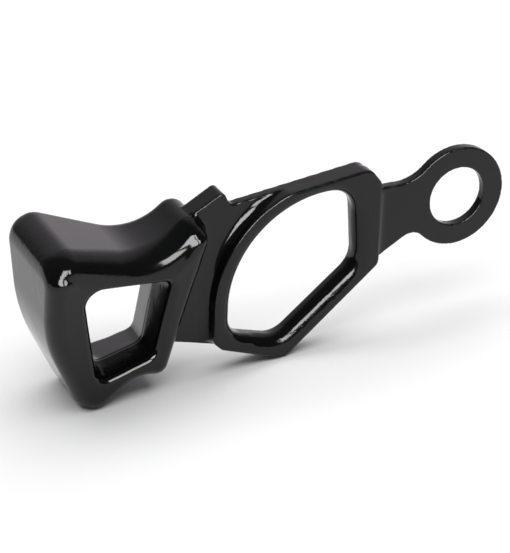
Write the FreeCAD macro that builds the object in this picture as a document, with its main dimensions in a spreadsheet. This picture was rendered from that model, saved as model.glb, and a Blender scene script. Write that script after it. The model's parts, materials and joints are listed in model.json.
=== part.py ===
"""Rope ascender body: a thin core plate with a round eye, a raised collar round its rope opening,
a thick pad at its root and a flared hollow block in two halves that close over the plate's tang.

Every sub-part is drawn in the plate's own plane: the eye's centre is the drawing's origin, X runs
from the block towards the eye, Z is up the plate and Y runs through its thickness, with the
plate's front face at Y = 0.  The finished part then stands on its lowest corners, with the
document's origin under the middle of its box.  All lengths are in millimetres.
"""
import FreeCAD, Part
import Sketcher
import os
import math

Vector = FreeCAD.Vector
DOC = FreeCAD.newDocument("ascender")
SHEET = DOC.addObject("Spreadsheet::Sheet", "Dims")

# Driving dimensions: alias, value, what it is.
DIMENSIONS = [
    ("eye_bore", 8.0, "radius of the eye's hole"),
    ("eye_outer", 13.65, "outer radius of the eye"),
    ("plate_gauge", 2.7, "thickness of the core plate"),
    ("collar_rise", 3.6, "how far the collar stands out of the plate's front face"),
    ("pad_rise", 3.2, "how far the root pad stands out of the plate's back face"),
    ("collar_round", 0.5, "rounding of the collar's front outer edge"),
    ("throat_round", 2.5, "rounding of the rope opening's front edge"),
    ("throat_back_round", 1.4, "rounding of the rope opening's back edge"),
    ("block_round", 3.0, "rounding of the block's outer edges"),
    ("window_round", 2.0, "rounding of the block window's edges"),
    ("throat_draft", 4.0, "draft of the rope opening, wider towards the back, in degrees"),
    ("window_draft", 10.0, "draft of the window's walls, in degrees"),
    ("stand_tilt", 3.8, "turn about Y, in degrees, that stands the part on its two corners"),
    ("throat_sweep", 26.8, "radius of the rope opening's long arc"),
    ("collar_sweep", 30.6, "radius of the collar's long arc"),
    ("flare_sweep", 250.0, "radius of the block's hollow flare"),
    ("neck_top_blend", 11.0, "blend between the neck's upper side and the eye"),
    ("neck_low_blend", 4.5, "blend between the neck's lower side and the eye"),
    ("block_left_plane", -116.0, "where the block's left depth profile is drawn"),
    ("block_right_plane", -66.0, "where the block's right depth profile is drawn"),
    ("front_left_top", 18.0, "front half's depth in the left profile, at its top"),
    ("front_left_low", 7.6, "front half's depth in the left profile, at its bottom"),
    ("front_right_top", 10.2, "front half's depth in the right profile, at its top"),
    ("front_right_low", 6.6, "front half's depth in the right profile, at its bottom"),
    ("rear_left_top", 22.0, "rear half's depth in the left profile, at its top"),
    ("rear_left_low", 15.0, "rear half's depth in the left profile, at its bottom"),
    ("rear_right_top", 11.0, "rear half's depth in the right profile, at its top"),
    ("rear_right_low", 8.0, "rear half's depth in the right profile, at its bottom"),
    ("profile_top", 18.0, "top of the depth profiles"),
    ("profile_low", -44.0, "bottom of the depth profiles"),
]

# Corners of the outlines: name, X, Z and the radius that rounds the corner (0 leaves it sharp).
CORNERS = [
    ("tang_top", -76.4, 3.0, 0.0),
    ("shoulder_root", -76.6, 7.4, 0.0),
    ("shoulder_tip", -66.9, 13.1, 1.3),
    ("notch", -65.0, 9.1, 1.5),
    ("top_right", -28.2, 14.0, 3.2),
    ("neck_top", -23.6, 6.35, 2.4),
    ("neck_top_end", -7.2, 6.35, 0.0),
    ("neck_low_end", -8.0, -4.6, 0.0),
    ("neck_low", -25.1, -14.7, 2.4),
    ("keel", -50.1, -35.4, 4.0),
    ("heel", -67.6, -29.2, 0.0),
    ("root_low", -80.6, -25.7, 0.0),
    ("tang_low", -84.6, -23.0, 0.0),
    ("collar_apex", -50.9, 10.98, 6.0),
    ("collar_shoulder", -24.6, 9.6, 3.0),
    ("collar_low_right", -24.1, -13.1, 2.6),
    ("collar_heel", -67.6, -29.2, 2.4),
    ("collar_side", -70.0, -26.8, 2.4),
    ("collar_left", -70.0, -17.4, 0.0),
    ("throat_left", -65.6, -17.2, 0.0),
    ("throat_top", -39.4, 9.2, 0.0),
    ("throat_top_right", -32.3, 9.2, 7.0),
    ("throat_low_right", -30.2, -12.1, 7.0),
    ("throat_keel", -51.3, -29.6, 6.4),
    ("throat_heel", -65.6, -25.5, 6.0),
    ("block_horn", -115.8, 9.4, 6.0),
    ("block_saddle", -86.2, 0.4, 16.0),
    ("block_knob", -69.3, 14.6, 3.6),
    ("block_toe", -82.7, -33.1, 3.3),
    ("block_arch", -90.8, -31.4, 8.0),
    ("block_foot", -103.6, -41.35, 5.5),
    ("block_flank", -114.8, -17.0, 40.0),
    ("window_top_left", -104.2, -4.5, 4.0),
    ("window_top_right", -83.8, -6.8, 2.6),
    ("window_low_right", -87.2, -25.2, 3.2),
    ("window_low_left", -100.4, -28.9, 2.8),
    ("pad_low", -69.0, -27.0, 2.0),
    ("pad_root_low", -81.6, -23.6, 0.0),
]

# Outlines: corner names in order; a corner with a radius starts an arc to the next corner, and
# the arc bulges to the left of the way it runs for +1 and to the right for -1.
PLATE_OUTLINE = [
    ("tang_top",),
    ("shoulder_root",),
    ("shoulder_tip",),
    ("notch",),
    ("top_right",),
    ("neck_top",),
    ("neck_top_end",),
    ("neck_low_end",),
    ("neck_low",),
    ("keel",),
    ("heel",),
    ("root_low",),
    ("tang_low",),
]
COLLAR_OUTLINE = [
    ("collar_left", "collar_sweep", 1),
    ("collar_apex",),
    ("top_right",),
    ("collar_shoulder",),
    ("collar_low_right",),
    ("keel",),
    ("collar_heel",),
    ("collar_side",),
]
THROAT_OUTLINE = [
    ("throat_left", "throat_sweep", 1),
    ("throat_top",),
    ("throat_top_right",),
    ("throat_low_right",),
    ("throat_keel",),
    ("throat_heel",),
]
PAD_OUTLINE = [
    ("shoulder_root",),
    ("shoulder_tip",),
    ("notch",),
    ("pad_low",),
    ("pad_root_low",),
]
BLOCK_OUTLINE = [
    ("block_horn",),
    ("block_saddle",),
    ("block_knob",),
    ("block_toe",),
    ("block_arch",),
    ("block_foot",),
    ("block_flank",),
]
WINDOW_OUTLINE = [
    ("window_top_left",),
    ("window_top_right",),
    ("window_low_right",),
    ("window_low_left",),
]

# The rectangle outside which nothing of the block is kept when its outline is trimmed.
TRIM_FRAME = (Vector(-200, -90, 0), Vector(0, 90, 0))
# How much further than its outline the drafted window can reach at the block's faces.
WINDOW_GROWTH = 3.5


def fill_sheet():
    """Writes every driving dimension and every corner to the sheet, each under its alias."""
    rows = list(DIMENSIONS)
    for name, x, z, radius in CORNERS:
        rows.append((name + "_x", x, "X of " + name))
        rows.append((name + "_z", z, "Z of " + name))
        rows.append((name + "_round", radius, "corner radius of " + name))
    for number, (alias, value, note) in enumerate(rows, start=1):
        SHEET.set("A%d" % number, note)
        SHEET.set("B%d" % number, repr(value))
        SHEET.setAlias("B%d" % number, alias)
    DOC.recompute()


def dim(alias):
    """The sheet's value for an alias."""
    return float(getattr(SHEET, alias))


def corner(name):
    """A corner's place in a sketch."""
    return Vector(dim(name + "_x"), dim(name + "_z"), 0)


def plane(body, role):
    """One of a body's own origin planes."""
    return next(f for f in body.Origin.OriginFeatures if f.Role == role)


def new_body(label):
    """An empty body under its own label."""
    body = DOC.addObject("PartDesign::Body", label)
    body.Label = label
    return body


def new_sketch(body, name, role="XZ_Plane", offset="0"):
    """A sketch on one of the body's origin planes, moved along its normal by an expression."""
    sketch = body.newObject("Sketcher::SketchObject", name)
    sketch.AttachmentSupport = [(plane(body, role), "")]
    sketch.MapMode = "FlatFace"
    sketch.setExpression("AttachmentOffset.Base.z", offset)
    return sketch


def arc_middle(start, end, radius, side):
    """The middle point of an arc that bulges to the left (side 1) or right of start to end."""
    chord = end - start
    half = chord.Length / 2
    left = Vector(-chord.y, chord.x, 0).normalize()
    sagitta = radius - math.sqrt(radius * radius - half * half)
    return (start + end) * 0.5 + left * (side * sagitta)


def pin(sketch, geo, position, name_x, name_z):
    """Holds a point of a sketch at two cells of the sheet."""
    point = sketch.getPoint(geo, position)
    for kind, value, alias in (("DistanceX", point.x, name_x), ("DistanceY", point.y, name_z)):
        index = sketch.addConstraint(Sketcher.Constraint(kind, -1, 1, geo, position, value))
        sketch.setExpression("Constraints[%d]" % index, "Dims." + alias)


def draw_outline(sketch, outline):
    """Draws a closed outline of lines and arcs, each corner and radius held by the sheet."""
    count = len(outline)
    ends = []
    for number, step in enumerate(outline):
        start = corner(step[0])
        end = corner(outline[(number + 1) % count][0])
        if len(step) == 3:
            middle = arc_middle(start, end, dim(step[1]), step[2])
            geo = sketch.addGeometry(Part.Arc(start, middle, end), False)
            index = sketch.addConstraint(Sketcher.Constraint("Radius", geo, dim(step[1])))
            sketch.setExpression("Constraints[%d]" % index, "Dims." + step[1])
        else:
            geo = sketch.addGeometry(Part.LineSegment(start, end), False)
        forward = sketch.getPoint(geo, 1).distanceToPoint(start) < 1e-6
        ends.append((geo, 1, 2) if forward else (geo, 2, 1))
    for number, (geo, first, last) in enumerate(ends):
        following = ends[(number + 1) % count]
        sketch.addConstraint(
            Sketcher.Constraint("Coincident", geo, last, following[0], following[1])
        )
    for number, (geo, first, last) in enumerate(ends):
        name = outline[number][0]
        pin(sketch, geo, first, name + "_x", name + "_z")


def draw_circle(sketch, radius_alias):
    """A circle round the sketch's origin."""
    geo = sketch.addGeometry(Part.Circle(Vector(0, 0, 0), Vector(0, 0, 1), dim(radius_alias)), False)
    sketch.addConstraint(Sketcher.Constraint("Coincident", geo, 3, -1, 1))
    index = sketch.addConstraint(Sketcher.Constraint("Radius", geo, dim(radius_alias)))
    sketch.setExpression("Constraints[%d]" % index, "Dims." + radius_alias)


def draw_frame(sketch):
    """A plain rectangle round the block, outside every outline."""
    low, high = TRIM_FRAME
    points = [low, Vector(high.x, low.y, 0), high, Vector(low.x, high.y, 0)]
    sides = []
    for number, start in enumerate(points):
        end = points[(number + 1) % 4]
        sides.append(sketch.addGeometry(Part.LineSegment(start, end), False))
    for number, geo in enumerate(sides):
        sketch.addConstraint(Sketcher.Constraint("Coincident", geo, 2, sides[(number + 1) % 4], 1))


def add_pad(body, name, sketch, length, backward):
    """Pads a sketch by an expression; backward pads it towards +Y."""
    pad = body.newObject("PartDesign::Pad", name)
    pad.Profile = sketch
    pad.setExpression("Length", length)
    pad.Reversed = backward
    DOC.recompute()
    return pad


def add_pocket(body, name, sketch, length, backward, draft=None):
    """Pockets a sketch by an expression and makes sure that it removed something."""
    before = body.Shape.Volume
    pocket = body.newObject("PartDesign::Pocket", name)
    pocket.Profile = sketch
    pocket.setExpression("Length", length)
    pocket.Reversed = backward
    if draft:
        pocket.setExpression("TaperAngle", draft)
    DOC.recompute()
    if not 0 < body.Shape.Volume < before - 1e-3:
        raise RuntimeError(name + " removed nothing, or everything")
    return pocket


def edge_names(shape, test):
    """The names of the edges of a shape that pass a test."""
    return ["Edge%d" % n for n, edge in enumerate(shape.Edges, start=1) if test(edge)]


def runs_through(edge):
    """Whether an edge runs straight through the thickness, along Y."""
    if len(edge.Vertexes) != 2:
        return False
    first, last = (vertex.Point for vertex in edge.Vertexes)
    return math.hypot(first.x - last.x, first.z - last.z) < 1e-4


def at_corner(name):
    """A test for the edge that runs through the thickness at a corner."""
    place = corner(name)

    def test(edge):
        first = edge.Vertexes[0].Point
        return runs_through(edge) and math.hypot(first.x - place.x, first.z - place.y) < 1e-3

    return test


def in_plane(depth):
    """A test for edges that lie flat at one depth along Y."""
    return lambda edge: all(abs(v.Point.y - depth) < 1e-4 for v in edge.Vertexes)


def add_fillet(body, name, test, radius):
    """Rounds the tip's edges that pass a test, by an expression for the radius."""
    base = body.Tip
    edges = edge_names(base.Shape, test)
    if not edges:
        raise RuntimeError(name + " found no edge")
    fillet = body.newObject("PartDesign::Fillet", name)
    fillet.Base = (base, edges)
    fillet.setExpression("Radius", radius)
    DOC.recompute()
    if not fillet.isValid():
        raise RuntimeError(name + " failed on " + ", ".join(edges))
    return fillet


def round_corners(body, outline):
    """Rounds each corner of an outline that has a radius."""
    for step in outline:
        name = step[0]
        if dim(name + "_round") > 0:
            add_fillet(body, body.Label + "_" + name, at_corner(name), "Dims." + name + "_round")


def hole_edges(shape, depth):
    """The edges round the holes in the flat faces at one depth along Y."""
    flat = [face for face in shape.Faces if all(in_plane(depth)(edge) for edge in face.Edges)]
    holes = []
    for face in flat:
        for wire in face.Wires:
            if not wire.isSame(face.OuterWire):
                holes += wire.Edges
    return holes


def among(edges, edge):
    """Whether an edge is one of a list of edges."""
    return any(edge.isSame(other) for other in edges)


def leaves_plane(edge, depth):
    """Whether an edge runs from one depth along Y to another."""
    touching = [abs(vertex.Point.y - depth) < 1e-4 for vertex in edge.Vertexes]
    return any(touching) and not all(touching)


def clear_of_plane(edge, depth):
    """Whether an edge has no end at one depth along Y."""
    return all(abs(vertex.Point.y - depth) > 1e-4 for vertex in edge.Vertexes)


def round_drafted(body, outline, depth):
    """Rounds the corners of a drafted hole drawn at one depth along Y, each by its own radius."""
    for step in outline:
        name = step[0]
        place = Vector(corner(name).x, depth, corner(name).y)

        def slanted(edge):
            at_place = any(v.Point.distanceToPoint(place) < 1e-3 for v in edge.Vertexes)
            return at_place and leaves_plane(edge, depth)

        if dim(name + "_round") > 0:
            add_fillet(body, body.Label + "_" + name, slanted, "Dims." + name + "_round")


def inside(outline, margin=0.0):
    """A test for edges whose middle lies in the box of an outline, grown by a margin."""
    xs = [corner(step[0]).x for step in outline]
    zs = [corner(step[0]).y for step in outline]

    def test(edge):
        middle = edge.BoundBox.Center
        across = min(xs) - margin < middle.x < max(xs) + margin
        return across and min(zs) - margin < middle.z < max(zs) + margin

    return test


def where_neck_meets_eye(name):
    """A test for the edge through the thickness where the neck's upper or lower side meets the eye."""
    upper = name == "neck_top"

    def test(edge):
        first = edge.Vertexes[0].Point
        on_rim = abs(math.hypot(first.x, first.z) - dim("eye_outer")) < 1e-3
        return runs_through(edge) and on_rim and first.x < 0 and (first.z > 0) == upper

    return test


def build_core_plate():
    """Web, neck and eye cut from one thin plate, with a tang at the block's end."""
    body = new_body("core_plate")
    web = new_sketch(body, "web_outline")
    draw_outline(web, PLATE_OUTLINE)
    add_pad(body, "web", web, "Dims.plate_gauge", True)
    round_corners(body, PLATE_OUTLINE)
    ring = new_sketch(body, "eye_outline")
    draw_circle(ring, "eye_outer")
    add_pad(body, "eye", ring, "Dims.plate_gauge", True)
    for name, radius in (("neck_top", "Dims.neck_top_blend"), ("neck_low", "Dims.neck_low_blend")):
        add_fillet(body, name + "_blend", where_neck_meets_eye(name), radius)
    hole = new_sketch(body, "eye_hole_outline")
    draw_circle(hole, "eye_bore")
    add_pocket(body, "eye_hole", hole, "Dims.plate_gauge", False)
    throat = new_sketch(body, "throat_outline")
    draw_outline(throat, THROAT_OUTLINE)
    add_pocket(body, "throat", throat, "Dims.plate_gauge", False, "Dims.throat_draft")
    round_drafted(body, THROAT_OUTLINE, 0)
    back = dim("plate_gauge")
    near_throat = inside(THROAT_OUTLINE)
    mouth = hole_edges(body.Tip.Shape, back)
    add_fillet(
        body,
        "throat_back_edge",
        lambda edge: near_throat(edge) and among(mouth, edge),
        "Dims.throat_back_round",
    )
    return body


def build_collar():
    """The raised collar that stands on the plate's front face round the rope opening."""
    body = new_body("opening_collar")
    rim = new_sketch(body, "collar_outline")
    draw_outline(rim, COLLAR_OUTLINE)
    add_pad(body, "rim", rim, "Dims.collar_rise", False)
    round_corners(body, COLLAR_OUTLINE)
    front = -dim("collar_rise")
    add_fillet(body, "rim_front_edge", in_plane(front), "Dims.collar_round")
    throat = new_sketch(body, "collar_throat_outline")
    draw_outline(throat, THROAT_OUTLINE)
    add_pocket(body, "collar_throat", throat, "Dims.collar_rise", True, "-Dims.throat_draft")
    round_drafted(body, THROAT_OUTLINE, 0)
    mouth = hole_edges(body.Tip.Shape, front)
    add_fillet(body, "throat_front_edge", lambda edge: among(mouth, edge), "Dims.throat_round")
    return body


def build_root_pad():
    """The pad behind the plate's root, flush with the plate's shoulder."""
    body = new_body("root_pad")
    pad = new_sketch(body, "pad_outline", offset="-Dims.plate_gauge")
    draw_outline(pad, PAD_OUTLINE)
    add_pad(body, "pad", pad, "Dims.pad_rise", True)
    round_corners(body, PAD_OUTLINE)
    return body


def draw_profile(sketch, half, side, sign):
    """The depth profile of one half of the block at one side plane: straight root, curved face."""
    top = Vector(0, dim("profile_top"), 0)
    low = Vector(0, dim("profile_low"), 0)
    top_face = Vector(sign * dim("%s_%s_top" % (half, side)), top.y, 0)
    low_face = Vector(sign * dim("%s_%s_low" % (half, side)), low.y, 0)
    middle = arc_middle(low_face, top_face, dim("flare_sweep"), sign)
    pieces = [
        Part.LineSegment(top, low),
        Part.LineSegment(low, low_face),
        Part.Arc(low_face, middle, top_face),
        Part.LineSegment(top_face, top),
    ]
    for piece in pieces:
        geo = sketch.addGeometry(piece, False)
        sketch.addConstraint(Sketcher.Constraint("Block", geo))


def build_block_half(label, sign):
    """One half of the flared hollow block: sign -1 is the front half, +1 the rear half."""
    backward = sign > 0
    half = "rear" if backward else "front"
    reach = "Dims.%s_left_top" % half
    body = new_body(label)
    sections = []
    for side in ("left", "right"):
        offset = "Dims.block_%s_plane" % side
        section = new_sketch(body, label + "_" + side, "YZ_Plane", offset)
        section.setExpression("AttachmentOffset.Base.x", "Dims.plate_gauge")
        draw_profile(section, half, side, sign)
        sections.append(section)
    DOC.recompute()
    loft = body.newObject("PartDesign::AdditiveLoft", label + "_flare")
    loft.Profile = sections[0]
    loft.Sections = [sections[1]]
    loft.Ruled = True
    DOC.recompute()
    trim = new_sketch(body, label + "_outline", offset="-Dims.plate_gauge")
    draw_frame(trim)
    draw_outline(trim, BLOCK_OUTLINE)
    add_pocket(body, label + "_trim", trim, reach, not backward)
    round_corners(body, BLOCK_OUTLINE)
    root = in_plane(dim("plate_gauge"))
    add_fillet(
        body,
        label + "_outer_edge",
        lambda edge: not runs_through(edge) and not root(edge),
        "Dims.block_round",
    )
    window = new_sketch(body, label + "_window_outline", offset="-Dims.plate_gauge")
    draw_outline(window, WINDOW_OUTLINE)
    add_pocket(body, label + "_window", window, reach, not backward, "Dims.window_draft")
    round_drafted(body, WINDOW_OUTLINE, dim("plate_gauge"))
    near_window = inside(WINDOW_OUTLINE, WINDOW_GROWTH)
    add_fillet(
        body,
        label + "_window_edge",
        lambda edge: near_window(edge) and clear_of_plane(edge, dim("plate_gauge")),
        "Dims.window_round",
    )
    recess = new_sketch(body, label + "_recess_outline", offset="-Dims.plate_gauge")
    draw_outline(recess, PAD_OUTLINE if backward else PLATE_OUTLINE)
    depth = "Dims.pad_rise" if backward else "Dims.plate_gauge"
    add_pocket(body, label + "_recess", recess, depth, not backward)
    return body


def all_bodies():
    """Builds every sub-part."""
    return [
        build_core_plate(),
        build_collar(),
        build_root_pad(),
        build_block_half("block_front_half", -1),
        build_block_half("block_rear_half", 1),
    ]


def box_corners(shapes):
    """The low and the high corner of the box round some shapes."""
    boxes = [shape.optimalBoundingBox(False, False) for shape in shapes]
    low = Vector(min(b.XMin for b in boxes), min(b.YMin for b in boxes), min(b.ZMin for b in boxes))
    high = Vector(max(b.XMax for b in boxes), max(b.YMax for b in boxes), max(b.ZMax for b in boxes))
    return low, high


def stand_up(bodies):
    """Tilts the part onto its two lowest corners and puts the origin under the middle of its box."""
    tilt = FreeCAD.Rotation(Vector(0, 1, 0), dim("stand_tilt"))
    tilted = []
    for body in bodies:
        shape = body.Shape.copy()
        shape.Placement = FreeCAD.Placement(Vector(0, 0, 0), tilt)
        tilted.append(shape)
    low, high = box_corners(tilted)
    shift = Vector(-(low.x + high.x) / 2, -(low.y + high.y) / 2, -low.z)
    for body in bodies:
        body.Placement = FreeCAD.Placement(shift, tilt)
    DOC.recompute()


def check_document(bodies):
    """Stops the build if any object failed or any sub-part has no valid solid."""
    for item in DOC.Objects:
        if "Invalid" in item.State or "Error" in item.State:
            raise RuntimeError(item.Label + " failed: " + ", ".join(item.State))
    for body in bodies:
        shape = body.Shape
        if shape.isNull() or not shape.isValid() or len(shape.Solids) != 1:
            raise RuntimeError(body.Label + " is not one valid solid")


fill_sheet()
BODIES = all_bodies()
stand_up(BODIES)
check_document(BODIES)
os.makedirs("parts", exist_ok=True)
for BODY in BODIES:
    BODY.Shape.exportStep("parts/%s.step" % BODY.Label)
    print(BODY.Label, round(BODY.Shape.Volume), "mm3")
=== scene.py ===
import json
import math

import bmesh
import bpy
import numpy as np
from mathutils import Euler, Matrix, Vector
from mathutils.bvhtree import BVHTree


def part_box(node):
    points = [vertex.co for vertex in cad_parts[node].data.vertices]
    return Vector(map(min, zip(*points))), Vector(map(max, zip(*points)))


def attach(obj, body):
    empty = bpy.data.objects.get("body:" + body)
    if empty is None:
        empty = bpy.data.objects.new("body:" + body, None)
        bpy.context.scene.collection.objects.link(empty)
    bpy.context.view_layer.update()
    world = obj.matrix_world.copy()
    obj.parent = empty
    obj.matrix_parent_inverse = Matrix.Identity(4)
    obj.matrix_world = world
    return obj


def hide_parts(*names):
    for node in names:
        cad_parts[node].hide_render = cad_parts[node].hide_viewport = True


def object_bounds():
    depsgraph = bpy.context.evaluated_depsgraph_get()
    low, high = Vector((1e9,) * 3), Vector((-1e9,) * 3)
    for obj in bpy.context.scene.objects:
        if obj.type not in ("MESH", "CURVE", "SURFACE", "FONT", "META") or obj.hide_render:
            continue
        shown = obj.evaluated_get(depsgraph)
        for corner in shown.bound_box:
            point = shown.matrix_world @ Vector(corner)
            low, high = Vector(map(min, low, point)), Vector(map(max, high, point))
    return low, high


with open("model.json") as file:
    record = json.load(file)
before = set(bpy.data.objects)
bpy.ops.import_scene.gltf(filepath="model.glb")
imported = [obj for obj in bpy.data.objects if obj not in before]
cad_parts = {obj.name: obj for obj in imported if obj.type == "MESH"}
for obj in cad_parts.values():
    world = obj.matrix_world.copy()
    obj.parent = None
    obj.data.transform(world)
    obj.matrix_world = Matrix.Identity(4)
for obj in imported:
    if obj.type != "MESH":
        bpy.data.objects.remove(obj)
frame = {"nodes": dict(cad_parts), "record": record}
CAD_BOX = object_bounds()

# ---------------------------------------------------------------- places and sizes

MM = 0.001
TOUCHING = 1e-7  # points nearer than this are one point
TINY = 1e-9  # keeps a division from a zero length

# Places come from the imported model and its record.
OPENINGS = {opening["name"]: opening["box_m"] for opening in frame["record"]["physics"]["openings"]}
WINDOW_LOW, WINDOW_HIGH = (Vector(corner) for corner in OPENINGS["rope_window"])
THROAT_LOW = Vector(OPENINGS["rope_opening_upper"][0])
EYE = next(mount for mount in frame["record"]["mounts"] if mount["name"] == "eye")
EYE_RADIUS = EYE["dims"]["r_mm"] * MM
PLATE_FRONT, PLATE_BACK = (corner.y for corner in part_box("core_plate"))
COLLAR_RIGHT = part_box("opening_collar")[1].x
BLOCK_FAR, BLOCK_RIGHT = (corner.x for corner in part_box("block_front_half"))
BLOCK_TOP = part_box("block_front_half")[1].z
HORN = Vector((BLOCK_FAR + 2.5 * MM, 0, BLOCK_TOP - 2 * MM))

# The block's straight side runs from its toe to its knob, and its piece ends just past that side.
TOE = Vector((-33.8, 0, 4.0)) * MM
KNOB = Vector((-17.3, 0, 50.7)) * MM
PAST_SIDE = 1.2 * MM

# The skin, and the concave foot that joins the collar to the plate.
VOXEL = 0.26 * MM
SKIN_ROUNDS = 6
FOOT_WIDTH = 3.2 * MM
FOOT_EXTRA = 0.4 * MM
FOOT_HEIGHT = 2.8 * MM
FOOT_ROOT = 0.6 * MM  # how far the foot starts inside the collar
FOOT_SPACING = 0.35 * MM
FOOT_STEPS = 8
FOOT_CLEAR = 0.12 * MM  # a foot with less room than this isn't made
OFF_JOIN = 0.1 * MM  # sections are cut this far from the face that two nodes share

# The block's rolled front edge.
ROLL_LEAST = 3.0 * MM
ROLL_EXTRA_TOP = 5.2 * MM
ROLL_EXTRA_FAR = 1.4 * MM
ROLL_LEVEL = PLATE_FRONT - 0.2 * MM
ROLL_SPACING = 0.3 * MM
ROLL_INSET = 4.2 * MM  # how far inside its outline the block's front face is looked for
IN_FRONT = -0.1  # a Y well in front of the object, where the look starts
FACES_FRONT = -0.9  # a face whose normal has a Y below this faces the front
ROLL_EVENING = 12
ROLL_OUTSIDE = 0.5 * MM  # skin further outside the outline than this stays
ROLL_MARGIN = 0.05 * MM  # a roll must be wider than the solid's edge by this to be made
CHUNK = 4000  # points that are compared with an outline at once

# The zones that are smoothed: how far a normal leans, from where a zone starts to where it is full.
LEAN_STARTS = 0.12
LEAN_FULL = 0.32
SILL_STARTS = 10 * MM  # how far right of and below the opening's box corner, added up
NECK_MARGIN = 3 * MM
KNOB_INSET = (2 * MM, 7 * MM)  # from the block's right and top to the middle of the knob's tip
KNOB_REACH = (6.8 * MM, 2.8 * MM)  # where the zone round the knob's tip ends and where it is full
KNOB_DEPTH = 0.3 * MM

# The parting lines: one scored into the window's wall, the others where the pieces meet.
SCORE_WIDTH = 0.4 * MM
SCORE_DEPTH = 0.15 * MM
SCORE_GROW = Vector((3.5, 0, 4)) * MM
SEAM = 0.35 * MM

# Bends in 1/m where the coating starts to turn lighter and where it is lightest: wear, and a
# painted highlight along sharp edges.
WEAR_AND_HIGHLIGHT_STARTS = 800
WEAR_AND_HIGHLIGHT_FULL = 1400

# The coating: colours, gloss, noises as (scale, detail) and bumps as (strength, height).
COAT_TINT = (0.003, 0.0031, 0.0032)
COAT_SHADES = (0.7, 1.3)
# The lighter colour of sharp edges stands for wear and for a painted highlight along them.
COAT_WORN_AND_HIGHLIT = (0.07, 0.07, 0.072, 1)
COAT_IOR = 1.39
COAT_ROUGHNESS = (0.07, 0.15)
WORN_ROUGHNESS = 0.25
NOISE_SHIFT = (1.1, 0.77, -1.1)
CLOUDS = (55.0, 3.0)
CLOUD_RANGE = (0.3, 0.7)
WORN_BREAKS = (900.0, 2.0)
RIPPLES = (420.0, 2.0)
RIPPLE_BUMP = (0.35, 0.05 * MM)
PIT_PATCHES = (90.0, 2.0)
PIT_RANGE = (0.52, 0.66)
PITS = (1100.0, 3.0)
PIT_BUMP = (0.6, 0.08 * MM)
PITTED_EYE = (EYE_RADIUS + 0.7 * MM, EYE_RADIUS + 0.2 * MM)  # where pits end and are full
PITTED_HORN = (9 * MM, 4 * MM)
SPECK_SCALE = 140.0
SPECK_SIZE = 0.05  # a share of a cell
SPECK_BUMP = (0.5, 0.06 * MM)


# ---------------------------------------------------------------- arrays and outlines


def share(values, start, end):
    """How far values are from start to end, from 0 to 1."""
    return np.clip((values - start) / (end - start), 0, 1)


def unit(rows):
    """Rows of an array at length 1."""
    return rows / np.linalg.norm(rows, axis=1)[:, None]


def evened(values, rounds):
    """Values along a closed loop, evened out."""
    for _ in range(rounds):
        values = (np.roll(values, 1, axis=0) + values + np.roll(values, -1, axis=0)) / 3
    return values


def sides_of(outline):
    """Each side of a closed outline, as its two ends."""
    return zip(outline, outline[1:] + outline[:1])


def area(outline):
    """The signed area of a closed outline."""
    return sum(p.x * q.y - q.x * p.y for p, q in sides_of(outline)) / 2


def resample(outline, step):
    """The outline again with points about one step apart."""
    made = []
    for p, q in sides_of(outline):
        count = max(1, round((q - p).length / step))
        made += [p.lerp(q, k / count) for k in range(count)]
    return made


def encloses(outline, point):
    """Whether a point is inside an outline."""
    inside = False
    for p, q in sides_of(outline):
        if (p.y > point.y) != (q.y > point.y):
            if point.x < p.x + (point.y - p.y) / (q.y - p.y) * (q.x - p.x):
                inside = not inside
    return inside


def reach(origin, way, outline, most):
    """How far a point can move one way and stay inside an outline, up to a limit."""
    origin = origin + way * FOOT_CLEAR
    if not encloses(outline, origin):
        return 0.0
    best = most
    for p, q in sides_of(outline):
        side = q - p
        cross = way.x * side.y - way.y * side.x
        if abs(cross) < 1e-12:
            continue
        gap = p - origin
        along = (gap.x * side.y - gap.y * side.x) / cross
        across = (gap.x * way.y - gap.y * way.x) / cross
        if 0 <= across <= 1 and 0 < along < best:
            best = along
    return best


# ---------------------------------------------------------------- meshes


def new_object(name, mesh):
    """An object for a mesh, in the scene."""
    obj = bpy.data.objects.new(name, mesh)
    bpy.context.scene.collection.objects.link(obj)
    return obj


def object_of(name, bm):
    """An object for a bmesh, which is freed."""
    mesh = bpy.data.meshes.new(name)
    bm.to_mesh(mesh)
    bm.free()
    return new_object(name, mesh)


def cad_mesh(*nodes):
    """A bmesh of some CAD nodes, with their faces joined up."""
    bm = bmesh.new()
    for node in nodes:
        bm.from_mesh(frame["nodes"][node].data)
    bmesh.ops.remove_doubles(bm, verts=bm.verts, dist=TOUCHING)
    return bm


def cut(bm, point, normal, **sides):
    """Cuts a bmesh at a plane and removes the sides that are named."""
    whole = bm.verts[:] + bm.edges[:] + bm.faces[:]
    bmesh.ops.bisect_plane(
        bm, geom=whole, dist=TOUCHING, plane_co=point, plane_no=normal, **sides
    )


def outer_loop(node, level):
    """The outer outline of a CAD node's section at one Y, as (x, z) points in order."""
    bm = cad_mesh(node)
    cut(bm, (0, level, 0), (0, 1, 0), clear_inner=True, clear_outer=True)
    neighbours = {}
    bm.verts.index_update()
    for edge in bm.edges:
        a, b = (v.index for v in edge.verts)
        neighbours.setdefault(a, []).append(b)
        neighbours.setdefault(b, []).append(a)
    bm.verts.ensure_lookup_table()
    best, seen = [], set()
    for start in neighbours:
        loop, here = [], start
        while here is not None and here not in seen:
            seen.add(here)
            loop.append(here)
            here = next((n for n in neighbours[here] if n not in seen), None)
        points = [Vector((bm.verts[i].co.x, bm.verts[i].co.z)) for i in loop]
        if abs(area(points)) > abs(area(best)):
            best = points
    bm.free()
    return best if area(best) > 0 else best[::-1]


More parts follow.
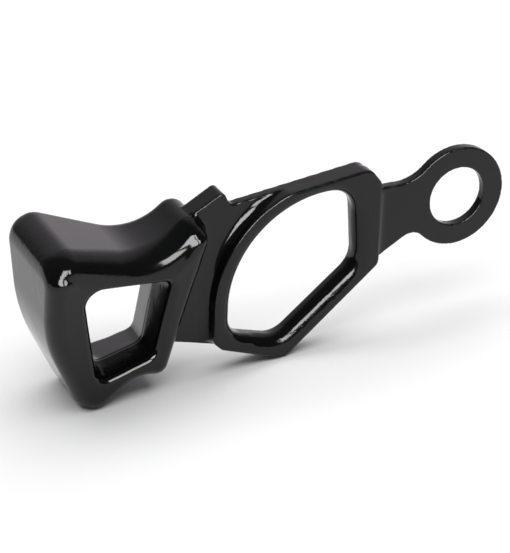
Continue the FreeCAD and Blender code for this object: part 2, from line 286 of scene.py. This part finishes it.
def remesh(obj, voxel, rounds):
    """Turns an object into one closed skin of small faces and softens its edges."""
    skin = obj.modifiers.new("skin", "REMESH")
    skin.mode = "VOXEL"
    skin.voxel_size = voxel
    soft = obj.modifiers.new("soft", "SMOOTH")
    soft.factor = 0.5
    soft.iterations = rounds
    graph = bpy.context.evaluated_depsgraph_get()
    mesh = bpy.data.meshes.new_from_object(obj.evaluated_get(graph))
    obj.modifiers.clear()
    obj.data = mesh
    for polygon in mesh.polygons:
        polygon.use_smooth = True


def add_foot(obj, base, inner, edge, width_at, height):
    """Adds a concave foot round an outline: it spreads on the face at y = base up to the edge."""
    points = resample(inner, FOOT_SPACING)
    count = len(points)
    outs = []
    for number in range(count):
        tangent = points[(number + 2) % count] - points[number - 2]
        outs.append(Vector((tangent.y, -tangent.x)).normalized())
    fulls = [width_at(out) for out in outs]
    rooms = [reach(p, out, edge, full) for p, out, full in zip(points, outs, fulls)]
    turns = [math.pi / 2 * (1 - k / FOOT_STEPS) for k in range(FOOT_STEPS + 1)]

    bm = bmesh.new()
    bm.from_mesh(obj.data)
    rings = []
    for number, (p, out, full) in enumerate(zip(points, outs, fulls)):
        near = [rooms[(number + k) % count] for k in range(-3, 4)]
        width = min(rooms[number], sum(near) / len(near))
        tall = height * (width / full) ** 0.5
        curve = [(width * (1 - math.sin(turn)), tall * (1 - math.cos(turn))) for turn in turns]
        ring = []
        for across, up in ((-FOOT_ROOT, tall), *curve, (-FOOT_ROOT, 0.0)):
            q = p + out * across
            ring.append(bm.verts.new((q.x, base - up, q.y)))
        rings.append(ring)
    for ring, following in sides_of(rings):
        for (a, b), (d, c) in zip(sides_of(ring), sides_of(following)):
            bm.faces.new((a, b, c, d))
    bmesh.ops.recalc_face_normals(bm, faces=bm.faces)
    bm.to_mesh(obj.data)
    bm.free()


def keep_side(source, name, point, normal):
    """The part of a skin behind a plane, capped."""
    bm = bmesh.new()
    bm.from_mesh(source.data)
    cut(bm, point, normal, clear_outer=True)
    rim = [e for e in bm.edges if e.is_boundary]
    bmesh.ops.triangle_fill(bm, use_beauty=True, edges=rim)
    bmesh.ops.recalc_face_normals(bm, faces=bm.faces)
    for edge in rim:
        edge.smooth = False
    for face in bm.faces:
        face.smooth = True
    return object_of(name, bm)


def split(source, behind, ahead, point, normal):
    """Cuts a skin in two at a plane and removes the original."""
    point, normal = Vector(point), Vector(normal)
    halves = (
        keep_side(source, behind, point, normal),
        keep_side(source, ahead, point, -normal),
    )
    bpy.data.objects.remove(source)
    return halves


# ---------------------------------------------------------------- reshaping the skin


def mesh_arrays(mesh):
    """A mesh's vertex places and normals and its edges' ends, as arrays."""
    count = len(mesh.vertices)
    place = np.empty(count * 3, np.float32)
    mesh.vertices.foreach_get("co", place)
    normal = np.empty(count * 3, np.float32)
    mesh.vertices.foreach_get("normal", normal)
    ends = np.empty(len(mesh.edges) * 2, np.int32)
    mesh.edges.foreach_get("vertices", ends)
    return place.reshape(-1, 3).astype(float), normal.reshape(-1, 3), ends.reshape(-1, 2)


def put_back(mesh, place):
    """Sets a mesh's vertex places."""
    mesh.vertices.foreach_set("co", place.ravel().astype(np.float32))
    mesh.update()


def count_of(ends, size):
    """How many neighbours each vertex has."""
    return np.bincount(ends.ravel(), minlength=size)


def mean_of(values, ends, neighbours):
    """Each vertex's mean over its neighbours."""
    total = np.bincount(ends[:, 0], values[ends[:, 1]], len(neighbours))
    total += np.bincount(ends[:, 1], values[ends[:, 0]], len(neighbours))
    return total / np.maximum(neighbours, 1)


def soften(obj, zone, spread, gain, rounds):
    """Smooths a zone of a skin, which gives 0 to 1 from place and normal and is spread wider."""
    place, normal, ends = mesh_arrays(obj.data)
    neighbours = count_of(ends, len(place))
    weight = np.clip(zone(place, normal), 0, 1)
    for _ in range(spread):
        weight = mean_of(weight, ends, neighbours)
    weight = np.clip(weight * gain, 0, 1)
    weight[weight < 0.01] = 0
    ends = ends[(weight[ends] > 0).any(axis=1)]
    used, ends = np.unique(ends, return_inverse=True)
    ends = ends.reshape(-1, 2)
    neighbours = count_of(ends, len(used))
    part, pull = place[used], 0.5 * weight[used]
    for _ in range(rounds):
        for axis in range(3):
            part[:, axis] += pull * (mean_of(part[:, axis], ends, neighbours) - part[:, axis])
    place[used] = part
    put_back(obj.data, place)


def score(obj, level, low, high, width, depth):
    """Presses a fine line into a skin where it crosses y = level inside a box."""
    place, normal, _ = mesh_arrays(obj.data)
    inside = (place[:, 0] > low.x) & (place[:, 0] < high.x)
    inside &= (place[:, 2] > low.z) & (place[:, 2] < high.z)
    press = depth * share(np.abs(place[:, 1] - level), width, 0) * inside
    put_back(obj.data, place - normal * press[:, None])


def mark_wear_and_highlight(obj):
    """Stores how sharply a skin bends outwards, 0 to 1, for the coating's lighter edges: wear and a
    painted edge highlight.
    """
    place, normal, ends = mesh_arrays(obj.data)
    first, last = ends[:, 0], ends[:, 1]
    span = place[last] - place[first]
    size = (span ** 2).sum(axis=1) + 1e-14
    bend = np.bincount(first, (span * normal[first]).sum(axis=1) / size, len(place))
    bend -= np.bincount(last, (span * normal[last]).sum(axis=1) / size, len(place))
    neighbours = count_of(ends, len(place))
    wear_and_highlight = share(-2 * bend / np.maximum(neighbours, 1), WEAR_AND_HIGHLIGHT_STARTS, WEAR_AND_HIGHLIGHT_FULL)
    stored = obj.data.attributes.new("wear_and_highlight", "FLOAT", "POINT")
    stored.data.foreach_set("value", mean_of(wear_and_highlight, ends, neighbours).astype(np.float32))


def front_face(node, loop, outward):
    """A node's front face near each point of its outline, as places and normals."""
    bm = cad_mesh(node)
    tree = BVHTree.FromBMesh(bm)
    bm.free()
    found, known = [], []
    for number, (x, z) in enumerate(loop - outward * ROLL_INSET):
        hit, normal, _, _ = tree.ray_cast(Vector((x, IN_FRONT, z)), Vector((0, 1, 0)))
        if hit and normal.y < FACES_FRONT:
            found.append((*hit, *normal))
            known.append(number)
    every = np.arange(len(loop))
    columns = [np.interp(every, known, column, period=len(loop)) for column in zip(*found)]
    found = evened(np.stack(columns, axis=1), ROLL_EVENING)
    return found[:, :3], unit(found[:, 3:])


def nearest_in(loop, points):
    """The number of the loop's nearest point, for each of many points."""
    nearest = np.empty(len(points), int)
    for start in range(0, len(points), CHUNK):
        gap = points[start:start + CHUNK, None] - loop[None]
        nearest[start:start + CHUNK] = (gap ** 2).sum(axis=2).argmin(axis=1)
    return nearest


def round_front(obj, node, level, radius_of, right):
    """Rolls a wider edge round a node's front: skin outside the quarter circle moves onto it."""
    loop = np.array([p[:] for p in resample(outer_loop(node, level), ROLL_SPACING)])
    along = unit(np.roll(loop, -2, axis=0) - np.roll(loop, 2, axis=0))
    outward = np.stack((along[:, 1], -along[:, 0]), axis=1)
    radii = evened(radius_of(outward), ROLL_EVENING)
    face, facing = front_face(node, loop, outward)

    place, _, _ = mesh_arrays(obj.data)
    deepest = face[:, 1].max() + radii.max()
    near = np.flatnonzero((place[:, 0] < right) & (place[:, 1] < deepest))
    flat = place[near][:, (0, 2)]
    nearest = nearest_in(loop, flat)
    radius, side, front = radii[nearest], outward[nearest], facing[nearest]
    below = radius + ((flat - loop[nearest]) * side).sum(axis=1)
    behind = radius + ((place[near] - face[nearest]) * front).sum(axis=1)
    now = np.hypot(behind, below)
    moved = (behind > 0) & (below > 0) & (now > radius) & (below < radius + ROLL_OUTSIDE)
    moved &= radius > radii.min() + ROLL_MARGIN
    excess = np.where(moved, 1 - radius / np.maximum(now, TINY), 0)
    place[near] -= (behind * excess)[:, None] * front
    place[near[:, None], (0, 2)] -= (below * excess)[:, None] * side
    put_back(obj.data, place)


# ---------------------------------------------------------------- where and how much


def foot_width(out):
    """The collar's foot is a little wider towards the neck."""
    return FOOT_WIDTH + FOOT_EXTRA * max(0.0, out.x) ** 2


def roll_radius(outward):
    """The block's front edge is roundest along its top, less at its far end and least elsewhere."""
    up = ROLL_EXTRA_TOP * share(outward[:, 1], -0.1, 0.5)
    far = ROLL_EXTRA_FAR * share(-outward[:, 0], 0.3, 0.8)
    return ROLL_LEAST + np.maximum(up, far)


def front_edge(place, normal):
    """The zone of the rolled front edge."""
    on_front = (place[:, 0] < BLOCK_RIGHT) & (place[:, 1] < PLATE_FRONT)
    return on_front & (normal[:, 1] < -0.1) & (normal[:, 2] > 0.1)


def throat_sill(place, normal):
    """The rope opening's lower front edge, which is fuller than the rest."""
    across = (place[:, 0] - THROAT_LOW.x) - (place[:, 2] - THROAT_LOW.z)
    facing = np.minimum(-normal[:, 1], (normal[:, 2] - normal[:, 0]) * 0.7)
    on_collar = (place[:, 0] > BLOCK_RIGHT) & (place[:, 0] < COLLAR_RIGHT - NECK_MARGIN)
    return on_collar * (across > SILL_STARTS) * share(facing, LEAN_STARTS, LEAN_FULL)


def knob_tip(place, normal):
    """The front of the block's knob, where it dies into the plate."""
    left, down = KNOB_INSET
    away = np.hypot(place[:, 0] - BLOCK_RIGHT + left, place[:, 2] - BLOCK_TOP + down)
    return (place[:, 1] < PLATE_FRONT + KNOB_DEPTH) * share(away, *KNOB_REACH)


def horn_edge(place, normal):
    """The block's edge between its top and its far end."""
    facing = np.minimum(-normal[:, 0], normal[:, 2])
    return (place[:, 0] < WINDOW_LOW.x) * share(facing, LEAN_STARTS, LEAN_FULL)


# ---------------------------------------------------------------- materials


def add_node(tree, kind, inputs=(), **settings):
    """A shader node: a socket among its inputs is linked, and a plain value is set."""
    made = tree.nodes.new(kind)
    for key, value in settings.items():
        setattr(made, key, value)
    for key, value in dict(inputs).items():
        if isinstance(value, bpy.types.NodeSocket):
            tree.links.new(value, made.inputs[key])
        else:
            made.inputs[key].default_value = value
    return made


def maths(tree, operation, *values):
    """The result of a maths node."""
    made = add_node(tree, "ShaderNodeMath", enumerate(values), operation=operation)
    return made.outputs["Value"]


def vector_maths(tree, operation, *values):
    """A vector maths node."""
    return add_node(tree, "ShaderNodeVectorMath", enumerate(values), operation=operation)


def noise(tree, spot, scale, detail):
    """Cloudy noise."""
    inputs = {"Vector": spot, "Scale": scale, "Detail": detail}
    return add_node(tree, "ShaderNodeTexNoise", inputs).outputs["Fac"]


def ranged(tree, value, start, end, low=0.0, high=1.0):
    """A value that goes from low to high as another goes from start to end."""
    inputs = {"Value": value, "From Min": start, "From Max": end, "To Min": low, "To Max": high}
    return add_node(tree, "ShaderNodeMapRange", inputs).outputs["Result"]


def bumped(tree, height, strength, distance, inputs=()):
    """The normal of a surface that a height bumps, with the bump's other inputs."""
    inputs = {"Height": height, "Strength": strength, "Distance": distance, **dict(inputs)}
    return add_node(tree, "ShaderNodeBump", inputs).outputs["Normal"]


def near_axis(tree, place, point, outer, inner):
    """A mask round a line along Y: 0 outside the outer radius, 1 inside the inner."""
    offset = vector_maths(tree, "SUBTRACT", place, point).outputs["Vector"]
    flat = vector_maths(tree, "MULTIPLY", offset, (1, 0, 1)).outputs["Vector"]
    away = vector_maths(tree, "LENGTH", flat).outputs["Value"]
    return ranged(tree, away, outer, inner)


def coat_material(name):
    """Glossy black coating: rippled, uneven in gloss, pitted in patches and lighter on sharp edges,
    from wear and a painted highlight.
    """
    material = bpy.data.materials.new(name)
    material.use_nodes = True
    tree = material.node_tree
    shader = tree.nodes["Principled BSDF"]
    shader.inputs["IOR"].default_value = COAT_IOR
    place = add_node(tree, "ShaderNodeTexCoord").outputs["Object"]
    shift = add_node(tree, "ShaderNodeMapping", {"Vector": place, "Location": NOISE_SHIFT})
    spot = shift.outputs["Vector"]

    cloud = noise(tree, spot, *CLOUDS)
    gloss = ranged(tree, cloud, *CLOUD_RANGE, *COAT_ROUGHNESS)
    stored = add_node(tree, "ShaderNodeAttribute", attribute_name="wear_and_highlight").outputs["Fac"]
    # Sharp edges get a lighter colour: wear, and a painted highlight along the edges.
    worn_and_highlit = maths(tree, "MULTIPLY", stored, noise(tree, spot, *WORN_BREAKS))
    dulled = maths(tree, "MULTIPLY_ADD", worn_and_highlit, WORN_ROUGHNESS, gloss)
    tree.links.new(dulled, shader.inputs["Roughness"])

    shade = add_node(tree, "ShaderNodeValToRGB", {"Fac": cloud})
    for element, strength in zip(shade.color_ramp.elements, COAT_SHADES):
        element.color = (*[c * strength for c in COAT_TINT], 1)
    colours = {"Factor": worn_and_highlit, "A": shade.outputs["Color"], "B": COAT_WORN_AND_HIGHLIT}
    faded_and_highlit = add_node(tree, "ShaderNodeMix", colours, data_type="RGBA")
    tree.links.new(faded_and_highlit.outputs["Result"], shader.inputs["Base Color"])

    ripples = bumped(tree, noise(tree, spot, *RIPPLES), *RIPPLE_BUMP)

    pitted = ranged(tree, noise(tree, spot, *PIT_PATCHES), *PIT_RANGE)
    for point, radii in ((EYE["pos_m"], PITTED_EYE), (HORN, PITTED_HORN)):
        pitted = maths(tree, "MAXIMUM", pitted, near_axis(tree, place, point, *radii))
    grain = maths(tree, "MULTIPLY", noise(tree, spot, *PITS), pitted)
    pits = bumped(tree, grain, *PIT_BUMP, {"Normal": ripples})

    cells = {"Vector": spot, "Scale": SPECK_SCALE, "Randomness": 1.0}
    speck = add_node(tree, "ShaderNodeTexVoronoi", cells).outputs["Distance"]
    specks = bumped(tree, ranged(tree, speck, 0.0, SPECK_SIZE), *SPECK_BUMP, {"Normal": pits})
    tree.links.new(specks, shader.inputs["Normal"])
    return material


def finish_piece(obj, slot_name, material, *nodes):
    """Gives a piece its material and puts it in the place of its CAD nodes."""
    obj.data.materials.clear()
    obj.data.materials.append(material)
    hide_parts(*nodes)
    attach(obj, "root")


# ---------------------------------------------------------------- the object

# The coating runs over every join, so the whole part is one skin that is then cut into its pieces.
NODES = ("core_plate", "opening_collar", "root_pad", "block_front_half", "block_rear_half")
skin = object_of("skin", cad_mesh(*NODES))
collar_outline = outer_loop("opening_collar", PLATE_FRONT - OFF_JOIN)
plate_outline = outer_loop("core_plate", PLATE_FRONT + OFF_JOIN)
add_foot(skin, PLATE_FRONT, collar_outline, plate_outline, foot_width, FOOT_HEIGHT)
remesh(skin, VOXEL, SKIN_ROUNDS)

round_front(skin, "block_front_half", ROLL_LEVEL, roll_radius, BLOCK_RIGHT)
soften(skin, front_edge, spread=10, gain=3, rounds=12)
soften(skin, throat_sill, spread=18, gain=3, rounds=260)
soften(skin, knob_tip, spread=4, gain=1, rounds=70)
soften(skin, horn_edge, spread=20, gain=2, rounds=60)
mark_wear_and_highlight(skin)
score(
    skin, PLATE_BACK, WINDOW_LOW - SCORE_GROW, WINDOW_HIGH + SCORE_GROW, SCORE_WIDTH, SCORE_DEPTH
)

up_side = (KNOB - TOE).normalized()
from_block = Vector((up_side.z, 0, -up_side.x))
block, rest = split(skin, "block", "rest", TOE + from_block * PAST_SIDE, from_block)
block_front, block_rear = split(block, "block_front", "block_rear", (0, PLATE_BACK, 0), (0, 1, 0))
collar, rest = split(rest, "collar", "rest_back", (0, PLATE_FRONT - SEAM, 0), (0, 1, 0))
plate, pad = split(rest, "plate", "pad", (0, PLATE_BACK + SEAM, 0), (0, 1, 0))

coat = coat_material("black_coat")
finish_piece(plate, "plate_coat", coat, "core_plate")
finish_piece(pad, "pad_coat", coat, "root_pad")
finish_piece(collar, "collar_coat", coat, "opening_collar")
finish_piece(block_front, "block_coat", coat, "block_front_half")
finish_piece(block_rear, "block_coat", coat, "block_rear_half")

# ---------------------------------------------------------------- floor

FLOOR_HALF = 4.0
FLOOR_GAP = 0.05 * MM

corners = [(x * FLOOR_HALF, y * FLOOR_HALF, 0) for x, y in ((-1, -1), (1, -1), (1, 1), (-1, 1))]
floor_mesh = bpy.data.meshes.new("floor")
floor_mesh.from_pydata(corners, [], [(0, 1, 2, 3)])
floor = new_object("floor", floor_mesh)
floor.location.z = CAD_BOX[0].z - FLOOR_GAP
paper = bpy.data.materials.new("floor_paper")
paper.use_nodes = True
paper_inputs = paper.node_tree.nodes["Principled BSDF"].inputs
paper_inputs["Base Color"].default_value = (0.9, 0.9, 0.9, 1)
paper_inputs["Roughness"].default_value = 0.9
paper_inputs["Specular IOR Level"].default_value = 0.1
floor_mesh.materials.append(paper)

# ---------------------------------------------------------------- light


def area_light(name, way, distance, width, height, power, tint):
    """A soft box in a direction from the object, turned towards it."""
    lamp = bpy.data.lights.new(name, "AREA")
    lamp.shape = "RECTANGLE"
    lamp.size = width
    lamp.size_y = height
    lamp.energy = power
    lamp.color = tint
    obj = new_object(name, lamp)
    way = Vector(way).normalized()
    obj.location = way * distance
    obj.rotation_euler = way.to_track_quat("Z", "Y").to_euler()
    return obj


# The overhead light brightens the floor, and the two soft boxes only show as highlights.
OVERHEAD = {"distance": 1.6, "width": 2.2, "height": 2.2, "power": 41.0, "tint": (1, 1, 1)}
SOFTBOX = {"distance": 1.1, "width": 0.40, "height": 0.52}

overhead = area_light("overhead", (0, 0, 1), **OVERHEAD)
overhead.visible_glossy = False
for name, way, power, tint in (
    ("softbox_left", (-0.375, -0.803, 0.454), 11.0, (1.0, 0.96, 1.0)),
    ("softbox_right", (0.085, -0.887, 0.454), 10.0, (1.0, 0.985, 0.95)),
):
    softbox = area_light(name, way, **SOFTBOX, power=power, tint=tint)
    softbox.visible_diffuse = False

# The surroundings are light behind the object and dark in front of it.
SKY_WAY = (0.45, 0.85, 0.10)
SKY_DARK = (0.30, (0.08, 0.085, 0.085, 1))
SKY_LIGHT = (0.97, (1.10, 1.02, 1.10, 1))
SKY_BETWEEN = ((0.45, 0.12), (0.60, 0.40), (0.88, 0.62))

world = bpy.data.worlds.new("studio")
world.use_nodes = True
bpy.context.scene.world = world
sky_tree = world.node_tree
sky = sky_tree.nodes["Background"]
sky.inputs["Strength"].default_value = 1.0
looking = add_node(sky_tree, "ShaderNodeTexCoord").outputs["Generated"]
lean = vector_maths(sky_tree, "DOT_PRODUCT", looking, SKY_WAY).outputs["Value"]
ramp = add_node(sky_tree, "ShaderNodeValToRGB", {"Fac": lean})
for element, (place, colour) in zip(ramp.color_ramp.elements, (SKY_DARK, SKY_LIGHT)):
    element.position = place
    element.color = colour
for place, level in SKY_BETWEEN:
    ramp.color_ramp.elements.new(place).color = (level, level * 0.94, level, 1)
sky_tree.links.new(ramp.outputs["Color"], sky.inputs["Color"])

# ---------------------------------------------------------------- camera

lens = bpy.data.cameras.new("camera")
lens.lens = 130.2
lens.sensor_width = 36.0
lens.clip_start = 0.02
lens.clip_end = 20.0
camera = new_object("camera", lens)
camera.location = (-0.1920, -0.3957, 0.26984)
camera.rotation_euler = Euler([math.radians(a) for a in (60.302, 1.250, -26.007)])
bpy.context.scene.camera = camera
bpy.context.scene.view_settings.view_transform = "Standard"
